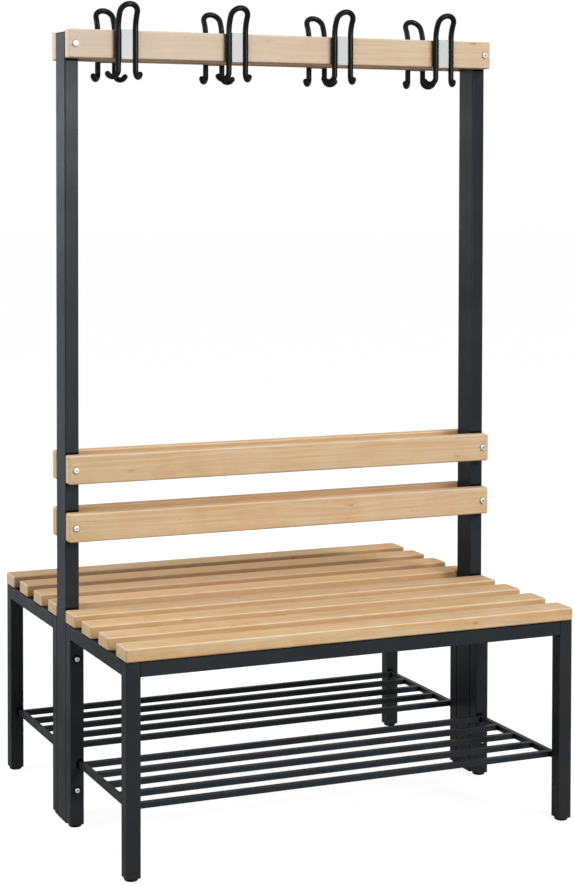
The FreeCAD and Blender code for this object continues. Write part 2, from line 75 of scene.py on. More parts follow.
def add_node(tree, kind, inputs=None, **settings):
    """Adds a node, sets its options and feeds its named inputs."""
    node = tree.nodes.new(kind)
    for name, value in settings.items():
        setattr(node, name, value)
    for name, source in (inputs or {}).items():
        feed(tree, node.inputs[name], source)
    return node


def maths(tree, operation, first, second=0.0):
    """The result of a sum on two values."""
    return add_node(tree, "ShaderNodeMath", {0: first, 1: second}, operation=operation).outputs[0]


def remap(tree, value, low, high, to_low=0.0, to_high=1.0):
    """A value moved from one range to another with soft ends."""
    ramp = {"Value": value, "From Min": low, "From Max": high, "To Min": to_low, "To Max": to_high}
    return add_node(tree, "ShaderNodeMapRange", ramp, interpolation_type="SMOOTHSTEP").outputs[0]


def mixed(tree, share, first, second):
    """A colour between two colours."""
    colours = {0: share, 6: first, 7: second}
    return add_node(tree, "ShaderNodeMix", colours, data_type="RGBA").outputs[2]


def tinted(tree, base, mask, share, tone):
    """A base colour with a share of another tone where a mask says so."""
    return mixed(tree, maths(tree, "MULTIPLY", mask, share), base, tone)


print("helpers for nodes, sums, ramps and mixes are ready")

# %% [markdown]
# A pattern starts from a point on the piece, or from the way that its surface faces. Noise at the
# point gives clouds, and a point that is scaled more on one axis than on another gives streaks.

# %% Points, directions and noise
def piece_point(tree):
    """The shaded point in the piece's own space, which is the frame of the bench."""
    return add_node(tree, "ShaderNodeTexCoord").outputs["Object"]


def facing(tree):
    """The direction that the surface faces."""
    return add_node(tree, "ShaderNodeNewGeometry").outputs["Normal"]


def axes(tree, vector):
    """The X, Y and Z of a vector."""
    return add_node(tree, "ShaderNodeSeparateXYZ", {0: vector}).outputs


def cloud(tree, point, scale, detail, roughness=0.5):
    """Soft noise at a point, from 0 to 1."""
    noise = {"Vector": point, "Scale": scale, "Detail": detail, "Roughness": roughness}
    return add_node(tree, "ShaderNodeTexNoise", noise).outputs["Fac"]


def stretched(tree, point, scales):
    """A point with each axis scaled, so that a pattern can run along a board."""
    factors = {0: point, 1: scales}
    return add_node(tree, "ShaderNodeVectorMath", factors, operation="MULTIPLY").outputs[0]


def long_cloud(tree, point, scales, detail, roughness=0.5):
    """Soft noise that is drawn out along a board."""
    return cloud(tree, stretched(tree, point, scales), 1.0, detail, roughness)


def bumped(tree, height, depth):
    """A normal that follows a height from 0 to 1, with its full depth in metres."""
    bump = {"Height": height, "Strength": 1.0, "Distance": depth}
    return add_node(tree, "ShaderNodeBump", bump).outputs[0]


print("helpers for points, directions and noise are ready")

# %% [markdown]
# An effect that several finishes share is a node group with named inputs and outputs. It is built
# once, and placed in each material with that material's own values. What is the same all over a
# surface is set on the shader itself, where an export can read it.

# %% Groups and materials
def feed_all(tree, sockets, values):
    """Feeds several sockets by name, with an underscore for each space in a name."""
    for label, source in values.items():
        feed(tree, sockets[label.replace("_", " ")], source)


def new_group(name, inputs, outputs):
    """A shader node group with named sockets; returns the group, its inputs and its outputs."""
    tree = bpy.data.node_groups.new(name, "ShaderNodeTree")
    for label, start in inputs.items():
        kind = "NodeSocketColor" if isinstance(start, tuple) else "NodeSocketFloat"
        tree.interface.new_socket(label, in_out="INPUT", socket_type=kind).default_value = start
    for label, kind in outputs.items():
        tree.interface.new_socket(label, in_out="OUTPUT", socket_type="NodeSocket" + kind)
    given = tree.nodes.new("NodeGroupInput").outputs
    return tree, given, tree.nodes.new("NodeGroupOutput").inputs


def use_group(tree, group, **values):
    """Places a group in a material with its own values; returns its outputs."""
    node = add_node(tree, "ShaderNodeGroup", node_tree=group)
    feed_all(tree, node.inputs, values)
    return node.outputs


def new_material(name, **plain):
    """A material whose uniform values sit on its shader's own sockets."""
    material = bpy.data.materials.new(name)
    material.use_nodes = True
    shader = material.node_tree.nodes["Principled BSDF"]
    feed_all(material.node_tree, shader.inputs, plain)
    return material, material.node_tree, shader


print("helpers for groups and materials are ready")

# %% [markdown]
# ## Rounded edges
# A coat is thinnest on an edge, and wood is sanded most there, so edges read a shade paler; the same
# paleness is also a painted highlight, for the light that a rounded edge catches. A Bevel node finds
# the edges of any mesh, but it is slow, and here every board and tube is truly rounded and lies
# square to the axes. A flat face then has a normal along one axis, and only a rounded edge has one
# that leans. That gives a clean mask, and noise breaks it up, because nothing wears evenly.

# %% Edge mask group
FLAT_FACE, FULL_EDGE = 0.985, 0.82    # the longest axis of the normal on a face and on an edge
LEAST_EDGE_PALENESS = 0.55


def build_edge_mask():
    tree, given, out = new_group("edge_wear_and_highlight", {"Break Up": 40.0}, {"Mask": "Float"})
    leaning = {0: facing(tree)}
    size = add_node(tree, "ShaderNodeVectorMath", leaning, operation="ABSOLUTE").outputs[0]
    x, y, z = axes(tree, size)
    squareness = maths(tree, "MAXIMUM", maths(tree, "MAXIMUM", x, y), z)
    # painted highlight and wear: a normal that leans off the axes marks a rounded edge
    edge = remap(tree, squareness, FLAT_FACE, FULL_EDGE)
    patches = cloud(tree, piece_point(tree), given["Break Up"], 4.0)
    patchy = remap(tree, patches, 0.3, 0.7, LEAST_EDGE_PALENESS, 1.0)
    feed(tree, out["Mask"], maths(tree, "MULTIPLY", edge, patchy))
    return tree


edge_wear_and_highlight = build_edge_mask()
print("group:", edge_wear_and_highlight.name)

# %% [markdown]
# ## Painted shade in crevices
# Where two tubes stand side by side, or a slat faces the next one across a gap, little light gets
# in, and this mask paints that shade into the colour, so the seam reads darker. Ambient occlusion
# measures how open a point is within a short reach: a few millimetres for a seam, and more than the
# width of a gap for the slats. The input called Closed is the openness at which the mask is full, so
# a higher value fills more of the seam.

# %% Crevice mask group
OPEN_SURFACE = 0.96
OCCLUSION_RAYS = 8


def build_crevice_shade_mask():
    tree, given, out = new_group("painted_crevice_shade", {"Reach": 0.01, "Closed": 0.5}, {"Mask": "Float"})
    shade = add_node(tree, "ShaderNodeAmbientOcclusion", {"Distance": given["Reach"]},
                     samples=OCCLUSION_RAYS)
    # painted shade: the less open a point is, the fuller the mask that darkens it
    feed(tree, out["Mask"], remap(tree, shade.outputs["AO"], OPEN_SURFACE, given["Closed"]))
    return tree


painted_crevice_shade = build_crevice_shade_mask()
print("group:", painted_crevice_shade.name)

# %% [markdown]
# ## The skin of a sprayed or moulded surface
# Powder coat melts into a film with a faint orange peel, and moulded plastic copies the fine texture
# of its mould. Both are small bumps with slow changes in gloss, so one group serves both: fine noise
# for the height, coarse noise for the gloss, and a soft tone that drifts along the piece.

# %% Coat skin group
DRIFT_SCALE = 7.0


def build_coat_skin():
    tree, given, out = new_group(
        "coat_skin", {"Grain Scale": 700.0, "Gloss": 0.45, "Gloss Drift": 0.08},
        {"Height": "Float", "Roughness": "Float", "Tone": "Float"})
    point = piece_point(tree)
    fine = cloud(tree, point, given["Grain Scale"], 2.0)
    slow = cloud(tree, point, DRIFT_SCALE, 4.0, 0.6)
    swing = maths(tree, "MULTIPLY", maths(tree, "SUBTRACT", slow, 0.5), given["Gloss Drift"])
    feed(tree, out["Height"], fine)
    feed(tree, out["Roughness"], maths(tree, "ADD", given["Gloss"], swing))
    feed(tree, out["Tone"], remap(tree, slow, 0.25, 0.75))
    return tree


coat_skin = build_coat_skin()
print("group:", coat_skin.name)

# %% [markdown]
# ## Beech
# The slats and boards are pale beech under a clear matt lacquer. Painting stripes on each face would
# not meet at the corners, so the wood is a solid pattern that the board is cut from, and long figure
# on the faces and rings on the ends come by themselves. Knots are few and small. A Voronoi texture
# divides the tree into cells that are long along the grain, and only some of them hold a knot, with
# a swirl of grain round it.

# %% Knots
KNOT_CELLS = (14.0, 40.0, 40.0)    # cells in a metre: along the board, across it and up
KNOT_FREE = 0.80                   # the share of cells with no knot
HEART_RIM, HEART_CORE = 0.16, 0.03
SWIRL_RIM, SWIRL_CORE = 0.40, 0.08


def find_knots(tree, point):
    """The dark heart of each knot, and the swirl of grain round it."""
    cells = add_node(tree, "ShaderNodeTexVoronoi",
                     {"Vector": stretched(tree, point, KNOT_CELLS), "Scale": 1.0})
    chance = add_node(tree, "ShaderNodeSeparateColor", {0: cells.outputs["Color"]}).outputs[0]
    present = remap(tree, chance, KNOT_FREE, KNOT_FREE + 0.01)
    near = cells.outputs["Distance"]
    heart = maths(tree, "MULTIPLY", remap(tree, near, HEART_RIM, HEART_CORE), present)
    swirl = maths(tree, "MULTIPLY", remap(tree, near, SWIRL_RIM, SWIRL_CORE), present)
    return heart, swirl


print("knot cells in mm:", [round(1000 / count) for count in KNOT_CELLS])

# %% [markdown]
# Growth rings lie round a pith that is outside the board. The distance from it is bent slowly along
# the board, and a knot pushes it aside. The rings are noise in one dimension, because even stripes
# look like pine.

# %% Growth rings
SLOW_BEND = (1.8, 7.0, 7.0)
BEND_DEPTH = 0.05
SWIRL_PUSH = 0.004
RING_SCALE = 140.0


def growth_rings(tree, point, swirl):
    """Pale and dark rings by the distance from the pith, from 0 to 1."""
    across, up = axes(tree, point)[1:3]
    squares = [maths(tree, "MULTIPLY", side, side) for side in (across, up)]
    radius = maths(tree, "SQRT", maths(tree, "ADD", *squares))
    bend = long_cloud(tree, point, SLOW_BEND, 2.0)
    for push, depth in ((bend, BEND_DEPTH), (swirl, SWIRL_PUSH)):
        radius = maths(tree, "ADD", radius, maths(tree, "MULTIPLY", push, depth))
    noise = {"W": radius, "Scale": RING_SCALE, "Detail": 2.0, "Roughness": 0.6}
    return add_node(tree, "ShaderNodeTexNoise", noise, noise_dimensions="1D").outputs["Fac"]


print("rings bend by up to", round(BEND_DEPTH * 1000), "mm")

# %% [markdown]
# Some boards are paler than others, and each may change from its left end to its right end. On most
# boards this is the wood's own tone, and on the coat rails and rear boards it is painted light and
# shade. A board carries three numbers for this on its object: how bleached it is at the left, how
# bleached at the right, and its share of the deep tone. An Attribute node reads them, so one
# material serves all.

# %% Tone of each board
LEFT_END, RIGHT_END = -0.5, 0.5


def board_toned(tree, wood, place, bleached, deep):
    """A wood colour with the tone of its own board, with painted light and shade on some boards."""
    tone = add_node(tree, "ShaderNodeAttribute", attribute_type="OBJECT",
                    attribute_name="board_tone")
    left, right, deep_tone_and_shade_share = axes(tree, tone.outputs["Vector"])
    left_to_right = remap(tree, axes(tree, place)[0], LEFT_END, RIGHT_END)
    change = maths(tree, "MULTIPLY", maths(tree, "SUBTRACT", right, left), left_to_right)
    wood = mixed(tree, maths(tree, "ADD", left, change), wood, bleached)
    return mixed(tree, deep_tone_and_shade_share, wood, deep)


print("tone runs from", LEFT_END, "to", RIGHT_END, "m")

# %% [markdown]
# The grain itself is a sum of rings, fibres, streaks and a soft mottle, each as noise with its own
# stretch. Short dark flecks are the rays that beech is known by. The sawn ends are cut across the
# fibres and read a little paler.

# %% Beech grain group
BEECH_TONES = {"Pale": (0.700, 0.546, 0.333, 1.0), "Blush": (0.706, 0.527, 0.333, 1.0),
               "Deep": (0.60, 0.36, 0.165, 1.0), "Bleached": (0.735, 0.640, 0.540, 1.0),
               "Knot": (0.24, 0.12, 0.05, 1.0)}
FIBRES, STREAKS = (5.0, 420.0, 420.0), (2.2, 70.0, 70.0)
MOTTLE, HUE_DRIFT = (18.0, 16.0, 16.0), (5.0, 9.0, 9.0)
FLECKS = (130.0, 1300.0, 1300.0)
RING_SHARE, FIBRE_SHARE, STREAK_SHARE, MOTTLE_SHARE = 0.20, 0.34, 0.22, 0.24
LATE_WOOD_SHARE, FLECK_SHARE, SWIRL_SHARE, HEART_SHARE = 0.30, 0.25, 0.30, 0.55
SAWN_END_SHARE = 0.25


def build_beech_grain():
    tree, given, out = new_group("beech_grain", BEECH_TONES,
                                 {"Color": "Color", "Roughness": "Float", "Height": "Float"})
    pale, blush, deep, bleached, knot = [given[label] for label in BEECH_TONES]
    place = piece_point(tree)
    shift = add_node(tree, "ShaderNodeAttribute", attribute_type="OBJECT",
                     attribute_name="tree_shift").outputs["Vector"]
    point = add_node(tree, "ShaderNodeVectorMath", {0: place, 1: shift}).outputs[0]

    heart, swirl = find_knots(tree, point)
    rings = growth_rings(tree, point, swirl)
    off_middle = maths(tree, "ABSOLUTE", maths(tree, "SUBTRACT", rings, 0.5))
    late_wood = remap(tree, off_middle, 0.07, 0.0)
    fibre = long_cloud(tree, point, FIBRES, 4.0, 0.6)
    streak = long_cloud(tree, point, STREAKS, 3.0)
    mottle = long_cloud(tree, point, MOTTLE, 3.0)
    hue = remap(tree, long_cloud(tree, point, HUE_DRIFT, 2.0), 0.38, 0.62)
    fleck = remap(tree, long_cloud(tree, point, FLECKS, 1.0), 0.65, 0.72)

    grain = maths(tree, "MULTIPLY", rings, RING_SHARE)
    for layer, share in ((fibre, FIBRE_SHARE), (streak, STREAK_SHARE), (mottle, MOTTLE_SHARE)):
        grain = maths(tree, "ADD", grain, maths(tree, "MULTIPLY", layer, share))
    early_wood = mixed(tree, hue, pale, blush)
    wood = mixed(tree, remap(tree, grain, 0.38, 0.66), early_wood, deep)
    wood = tinted(tree, wood, late_wood, LATE_WOOD_SHARE, deep)
    wood = board_toned(tree, wood, place, bleached, deep)
    for mask, share, tone in ((fleck, FLECK_SHARE, knot), (swirl, SWIRL_SHARE, deep),
                              (heart, HEART_SHARE, knot)):
        wood = tinted(tree, wood, mask, share, tone)
    sawn_end = remap(tree, maths(tree, "ABSOLUTE", axes(tree, facing(tree))[0]), 0.75, 0.95)

    feed(tree, out["Color"], tinted(tree, wood, sawn_end, SAWN_END_SHARE, bleached))
    feed(tree, out["Roughness"], remap(tree, fibre, 0.2, 0.8, 0.55, 0.72))
    feed(tree, out["Height"], maths(tree, "ADD", maths(tree, "MULTIPLY", fibre, 0.6),
                                    maths(tree, "MULTIPLY", rings, 0.4)))
    return tree


beech_grain = build_beech_grain()
print("group:", beech_grain.name, "with tones", list(BEECH_TONES))

# %% [markdown]
# The lacquer is matt and has almost no shine of its own. Upper edges are painted paler, partly as
# wear and partly as a painted highlight. The sides that face a gap, like the undersides, get painted
# shade: a darker and redder brown, like light that has already touched wood.

# %% Beech material
WORN_AND_HIGHLIGHT_TONE, WORN_AND_HIGHLIGHT_SHARE = (0.88, 0.74, 0.54, 1.0), 0.6
PAINTED_SHADE_TONE = (0.37, 0.155, 0.045, 1.0)
GAP_SHADE_REACH, GAP_SHADE_SHARE = 0.07, 0.45
UNDERSIDE_SHADE_SHARE = 0.5
GRAIN_DEPTH = 0.0001


def build_beech():
    material, tree, shader = new_material("lacquered_beech", Specular_IOR_Level=0.02)
    grain = use_group(tree, beech_grain)
    worn_and_lit_edge = use_group(tree, edge_wear_and_highlight, Break_Up=25.0)["Mask"]
    gap_shade = use_group(tree, painted_crevice_shade, Reach=GAP_SHADE_REACH)["Mask"]
    rise = axes(tree, facing(tree))[2]
    upward = remap(tree, rise, 0.1, 0.6)
    downward = remap(tree, rise, -0.2, -0.9)
    # painted highlight and wear: rounded upper edges are tinted paler, where they face the light
    wood = tinted(tree, grain["Color"], maths(tree, "MULTIPLY", worn_and_lit_edge, upward), WORN_AND_HIGHLIGHT_SHARE, WORN_AND_HIGHLIGHT_TONE)
    # painted shade: gap sides and undersides are tinted a darker, redder brown
    shaded = maths(tree, "MAXIMUM", maths(tree, "MULTIPLY", gap_shade, GAP_SHADE_SHARE),
                   maths(tree, "MULTIPLY", downward, UNDERSIDE_SHADE_SHARE))
    feed_all(tree, shader.inputs, {"Base Color": mixed(tree, shaded, wood, PAINTED_SHADE_TONE),
                                   "Roughness": grain["Roughness"],
                                   "Normal": bumped(tree, grain["Height"], GRAIN_DEPTH)})
    return material


beech = build_beech()
print("material:", beech.name)

# %% [markdown]
# Each board gets its own place in the tree, so no two look alike, and its own tone. The coat rails
# are the palest, and their paleness towards the left is painted light. The rear slats and the rear
# backrest board take the deep tone as painted shade, and the rear slats are painted paler towards
# their left ends as painted light.

# %% A place in the tree for each board
def board_tone(name, draw):
    """How bleached a board is at its left and right ends, and its deep share; painted light and
    shade on the coat rails and rear boards.
    """
    rear = name.startswith("rear")
    # painted light: the coat rails are paler towards the left
    if "coat_rail" in name:
        return [0.75, 0.32, 0.0]
    if "backrest" in name:
        left, right = draw.uniform(0.10, 0.20), draw.uniform(0.10, 0.20)
        # painted shade: the rear backrest board takes the deep tone
        return [left, right, 0.45 if rear else draw.uniform(0.0, 0.10)]
    if rear:
        # painted light and shade: rear slats take the deep tone and are paler at the left
        return [0.4, 0.0, draw.uniform(0.45, 0.70)]
    return [0.0, 0.0, draw.uniform(0.0, 0.25)]


def is_timber(name):
    return name.endswith("_board") or ("slat_" in name and "screw" not in name)


TREE_LENGTH = 40.0
timber = sorted(filter(is_timber, nodes))
draw = random.Random(7)
for name in timber:
    low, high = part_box(name)
    middle = (low + high) / 2
    away = draw.uniform(0.05, 0.16)
    angle = draw.uniform(0.15, 0.85) * math.pi
    nodes[name]["tree_shift"] = [draw.uniform(0.0, TREE_LENGTH),
                                 away * math.cos(angle) - middle.y,
                                 away * math.sin(angle) - middle.z]
    nodes[name]["board_tone"] = board_tone(name, draw)
print("boards with their own place in the tree:", len(timber))

# %% [markdown]
# ## Powder coat and plastic
# The tubes are anthracite, a grey close to black with a hint of blue, in a satin coat. The hooks are
# a deeper black, the plates between their legs are light grey, and the caps and glides are black
# plastic. Pigment is dull and the film over it shines, so the base has no shine of its own and a
# thin clear coat gives the gloss. Seams get painted shade, a near black with no clear coat, and
# rounded edges are painted paler, partly as wear and partly as a painted highlight.
# These are one recipe with four sets of values, so one function makes them all.

# %% Coated metal and plastic
SEAM_SHADE_REACH, SEAM_SHADE_SHARE = 0.006, 0.9
SEAM_SHADE_BLACK = (0.002, 0.002, 0.002, 1)
TONE_SHARE = 0.35
THIN_FILM, THICK_FILM = 0.85, 1.15


def build_coat(name, colour, pale, gloss, shine, grain_scale, depth, edge_share, closed=0.5):
    material, tree, shader = new_material(name, Specular_IOR_Level=0.0, Coat_Roughness=gloss)
    skin = use_group(tree, coat_skin, Grain_Scale=grain_scale, Gloss=gloss, Gloss_Drift=0.10)
    worn_and_lit_edge = use_group(tree, edge_wear_and_highlight, Break_Up=60.0)["Mask"]
    seam_shade = use_group(tree, painted_crevice_shade, Reach=SEAM_SHADE_REACH, Closed=closed)["Mask"]
    film = tinted(tree, colour, skin["Tone"], TONE_SHARE, pale)
    # painted highlight and wear: rounded edges are tinted towards the pale tone
    film = tinted(tree, film, worn_and_lit_edge, edge_share, pale)
    # painted shade: seams are tinted near black
    film = tinted(tree, film, seam_shade, SEAM_SHADE_SHARE, SEAM_SHADE_BLACK)
    shining = remap(tree, skin["Tone"], 0.0, 1.0, THIN_FILM * shine, THICK_FILM * shine)
    open_share = maths(tree, "SUBTRACT", 1.0, seam_shade)
    feed_all(tree, shader.inputs, {"Base Color": film, "Roughness": skin["Roughness"],
                                   "Coat Weight": maths(tree, "MULTIPLY", shining, open_share),
                                   "Normal": bumped(tree, skin["Height"], depth)})
    return material


anthracite = build_coat(
    "anthracite_powder_coat", (0.0190, 0.0222, 0.0258, 1), (0.029, 0.033, 0.037, 1), gloss=0.33,
    shine=0.16, grain_scale=800.0, depth=0.00004, edge_share=0.8, closed=0.85)
black_wire = build_coat(
    "black_hook_coat", (0.0035, 0.0035, 0.0038, 1), (0.007, 0.007, 0.0073, 1), gloss=0.34,
    shine=0.20, grain_scale=900.0, depth=0.00003, edge_share=0.0)
plate_grey = build_coat(
    "light_grey_plate", (0.60, 0.61, 0.61, 1), (0.66, 0.665, 0.665, 1), gloss=0.42,
    shine=0.45, grain_scale=900.0, depth=0.00003, edge_share=0.5)
black_plastic = build_coat(
    "black_plastic", (0.008, 0.008, 0.0085, 1), (0.014, 0.014, 0.0145, 1), gloss=0.52,
    shine=0.30, grain_scale=1600.0, depth=0.00005, edge_share=0.3)
print("coats:", [coat.name for coat in (anthracite, black_wire, plate_grey, black_plastic)])

# %% [markdown]
# ## Zinc
# The bolts and screws are plated with bright zinc, a metal with a cloudy skin that is faintly blue
# in some places and warm in others. The clouds change the gloss more than the colour, and painted
# shade darkens the seam round each head.

# %% Zinc plate
ZINC_COOL, ZINC_WARM = (0.40, 0.41, 0.42, 1), (0.48, 0.47, 0.445, 1)
ZINC_SEAM_SHADE, ZINC_SEAM_SHADE_REACH = (0.17, 0.165, 0.155, 1), 0.003
ZINC_GRAIN_DEPTH = 0.00001


def build_zinc():
    material, tree, shader = new_material("bright_zinc", Metallic=1.0)
    point = piece_point(tree)
    clouds = remap(tree, cloud(tree, point, 260.0, 4.0), 0.3, 0.7)
    plate = mixed(tree, clouds, ZINC_COOL, ZINC_WARM)
    seam_shade = use_group(tree, painted_crevice_shade, Reach=ZINC_SEAM_SHADE_REACH)["Mask"]
    fine = cloud(tree, point, 2200.0, 2.0)
    # painted shade: the seam round each head is tinted darker
    feed_all(tree, shader.inputs, {"Base Color": mixed(tree, seam_shade, plate, ZINC_SEAM_SHADE),
                                   "Roughness": remap(tree, clouds, 0.0, 1.0, 0.30, 0.44),
                                   "Normal": bumped(tree, fine, ZINC_GRAIN_DEPTH)})
    return material


zinc = build_zinc()
print("material:", zinc.name)

# %% [markdown]
# ## A finish for every piece
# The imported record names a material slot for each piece. Matching finishes by slot, and not by the
# names of pieces, keeps this to one table, and no piece can be forgotten.

# %% Put each finish on its pieces
FINISHES = {"frame": anthracite, "beech": beech, "hook_rod": black_wire, "hook_plate": plate_grey,
            "zinc": zinc, "black_plastic": black_plastic}
slots = {entry["node"]: entry["material_slot"] for entry in frame["record"]["subparts"]}
for name, piece in nodes.items():
    piece.data.materials.clear()
    piece.data.materials.append(FINISHES[slots[name]])
print({slot: list(slots.values()).count(slot) for slot in FINISHES})

# %% [markdown]
# ## Screws with a cross recess
# The slats are held from below, and the hook plates from behind, by round head screws. The CAD model
# has their size and place, and a plain head. Each loose part of the CAD node says where one screw
# goes, so no place is typed twice. Walking from a vertex to its neighbours until none is left finds
# one loose part after the other.

# %% Find the loose parts of a node
def loose_boxes(node):
    """The lowest and highest corner of each loose part of a node, in a steady order."""
    copy = bmesh.new()
    copy.from_mesh(nodes[node].data)
    bmesh.ops.remove_doubles(copy, verts=copy.verts, dist=0.00001)
    left = set(copy.verts)
    boxes = []
    while left:
        reached = [left.pop()]
        corners = []
        while reached:
            vertex = reached.pop()
            corners.append(vertex.co.copy())
            for edge in vertex.link_edges:
                other = edge.other_vert(vertex)
                if other in left:
                    left.remove(other)
                    reached.append(other)
        boxes.append((Vector(map(min, zip(*corners))), Vector(map(max, zip(*corners)))))
    copy.free()
    return sorted(boxes, key=lambda box: tuple(round(value, 4) for value in box[0]))


print("loose parts:", {node: len(loose_boxes(node)) for node in ("slat_screws", "hook_screws")})

# %% [markdown]
# A screw is a turned piece, so it is spun from a profile of radius and height. Its cross is not
# round. A tapered cross is made as a solid of its own and cut out of the head with a Boolean
# modifier, which leaves the sharp floor and walls that a punch forms.

# %% Turn a blank and make the cross
RECESS_FLOOR = 0.45    # the size of the cross at its floor, as a share of its mouth


def turned(profile, sides):
    """A mesh from a profile of radius and height, turned round the Z axis."""
    shape = bmesh.new()
    points = [shape.verts.new((radius, 0.0, height)) for radius, height in profile]
    edges = [shape.edges.new(pair) for pair in zip(points, points[1:])]
    bmesh.ops.spin(shape, geom=points + edges, axis=(0, 0, 1), cent=(0, 0, 0), steps=sides,
                   angle=2 * math.pi, use_duplicate=False)
    bmesh.ops.remove_doubles(shape, verts=shape.verts, dist=0.000001)
    bmesh.ops.recalc_face_normals(shape, faces=shape.faces)
    return shape


def cross_cutter(reach, wing, mouth, depth):
    """A cross that narrows from its mouth to its floor, as a closed mesh."""
    arms = [(reach, -wing), (reach, wing), (wing, wing), (wing, reach), (-wing, reach),
            (-wing, wing), (-reach, wing), (-reach, -wing), (-wing, -wing), (-wing, -reach),
            (wing, -reach), (wing, -wing)]
    shape = bmesh.new()
    low = [shape.verts.new((x, y, mouth)) for x, y in arms]
    high = [shape.verts.new((x * RECESS_FLOOR, y * RECESS_FLOOR, mouth + depth)) for x, y in arms]
    shape.faces.new(low)
    shape.faces.new(high)
    for i in range(len(arms)):
        j = (i + 1) % len(arms)
        shape.faces.new((low[i], low[j], high[j], high[i]))
    bmesh.ops.recalc_face_normals(shape, faces=shape.faces)
    return shape


def as_object(name, shape):
    """An object from a bmesh, in the scene."""
    mesh = bpy.data.meshes.new(name)
    shape.to_mesh(mesh)
    shape.free()
    item = bpy.data.objects.new(name, mesh)
    bpy.context.scene.collection.objects.link(item)
    return item


print("a cross is", RECESS_FLOOR, "of its mouth at its floor")

# %% Cut the recess into the head
SCREW_SIDES, DOME_STEPS = 28, 8
RECESS_REACH, RECESS_WING = 0.56, 0.13    # shares of the head's radius
RIM_SHARE, RECESS_DEPTH, RECESS_OVERRUN = 0.2, 0.6, 0.1    # shares of the head's height


def cross_head_screw(head_radius, head_height, shank_radius, shank_length, point_length):
    """One screw along Z: its head hangs below zero, recess downwards, and its shank rises."""
    rim_height = RIM_SHARE * head_height
    turns = [i / DOME_STEPS * math.pi / 2 for i in range(DOME_STEPS + 1)]
    dome = [(head_radius * math.sin(turn),
             -rim_height - (head_height - rim_height) * math.cos(turn)) for turn in turns]
    shank = [(head_radius, 0.0), (shank_radius, 0.0), (shank_radius, shank_length - point_length),
             (0.0 if point_length else shank_radius, shank_length)]
    closing = [] if point_length else [(0.0, shank_length)]
    screw = as_object("screw_blank", turned(dome + shank + closing, SCREW_SIDES))
    overrun = RECESS_OVERRUN * head_height
    cross = cross_cutter(RECESS_REACH * head_radius, RECESS_WING * head_radius,
                         -head_height - overrun, RECESS_DEPTH * head_height + overrun)
    cutter = as_object("cross_cutter", cross)
    cut = screw.modifiers.new("cross_recess", "BOOLEAN")
    cut.operation = "DIFFERENCE"
    cut.object = cutter
    seen = screw.evaluated_get(bpy.context.evaluated_depsgraph_get())
    finished = bpy.data.meshes.new_from_object(seen)
    for item in (screw, cutter):
        bpy.data.objects.remove(item)
    return finished


print("a screw is turned with", SCREW_SIDES, "sides")

# %% [markdown]
# One finished screw is copied to each place and turned so that its head is at the near end. All the
# screws of a node become one piece, which then stands for the plain CAD node.

# %% Drive the screws
HEAD_DIA, HEAD_HEIGHT = 0.009, 0.003
SLAT_SCREW_DIA, SLAT_SCREW_POINT = 0.0045, 0.005
HOOK_SCREW_DIA, HOOK_SCREW_POINT = 0.005, 0.0
SHARP_EDGE = math.radians(35)
Y_AXIS, Z_AXIS = 1, 2


def drive_screws(name, node, axis, shank_dia, point_length):
    """One piece with a screw at each loose part of a node; heads are at its low or inner end."""
    boxes = loose_boxes(node)
    span = boxes[0][1] - boxes[0][0]
    screw = cross_head_screw(HEAD_DIA / 2, HEAD_HEIGHT, shank_dia / 2, span[axis] - HEAD_HEIGHT,
                             point_length)
    joined = bmesh.new()
    for low, high in boxes:
        seat = (low + high) / 2
        side = 1 if axis == Z_AXIS else math.copysign(1, seat.y)
        outward = Vector((0, 0, side)) if axis == Z_AXIS else Vector((0, side, 0))
        seat[axis] = (low[axis] if side > 0 else high[axis]) + side * HEAD_HEIGHT
        copy = screw.copy()
        turn = outward.to_track_quat("Z", "X").to_matrix().to_4x4()
        copy.transform(Matrix.Translation(seat) @ turn)
        joined.from_mesh(copy)
        bpy.data.meshes.remove(copy)
    piece = as_object(name, joined)
    piece.data.materials.append(zinc)
    for face in piece.data.polygons:
        face.use_smooth = True
    piece.data.set_sharp_from_angle(angle=SHARP_EDGE)
    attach(piece, "root")
    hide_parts(node)
    print(name, "screws:", len(boxes), "length:", round(span[axis] * 1000, 1), "mm")


drive_screws("slat_screw_set", "slat_screws", Z_AXIS, SLAT_SCREW_DIA, SLAT_SCREW_POINT)
drive_screws("hook_screw_set", "hook_screws", Y_AXIS, HOOK_SCREW_DIA, HOOK_SCREW_POINT)

# %% [markdown]
# ## Floor and light
# The photograph is a studio picture on white. A wide pale floor takes a soft shadow, and what the
# camera and mirrors see of it gets a little of its own light, so that it meets the white world
# without a line. Only the floor's plain colour lights the bench from below, so undersides stay dark.
# The world looks white too, and what it gives as light is dimmer, and a little brighter overhead.

# %% Floor and white background
def seen_directly(tree):
    """One where the camera, a mirror or glass looks at it, and nothing where it only gives light."""
    path = add_node(tree, "ShaderNodeLightPath").outputs
    both = maths(tree, "MAXIMUM", path["Is Camera Ray"], path["Is Glossy Ray"])
    return maths(tree, "MAXIMUM", both, path["Is Transmission Ray"])


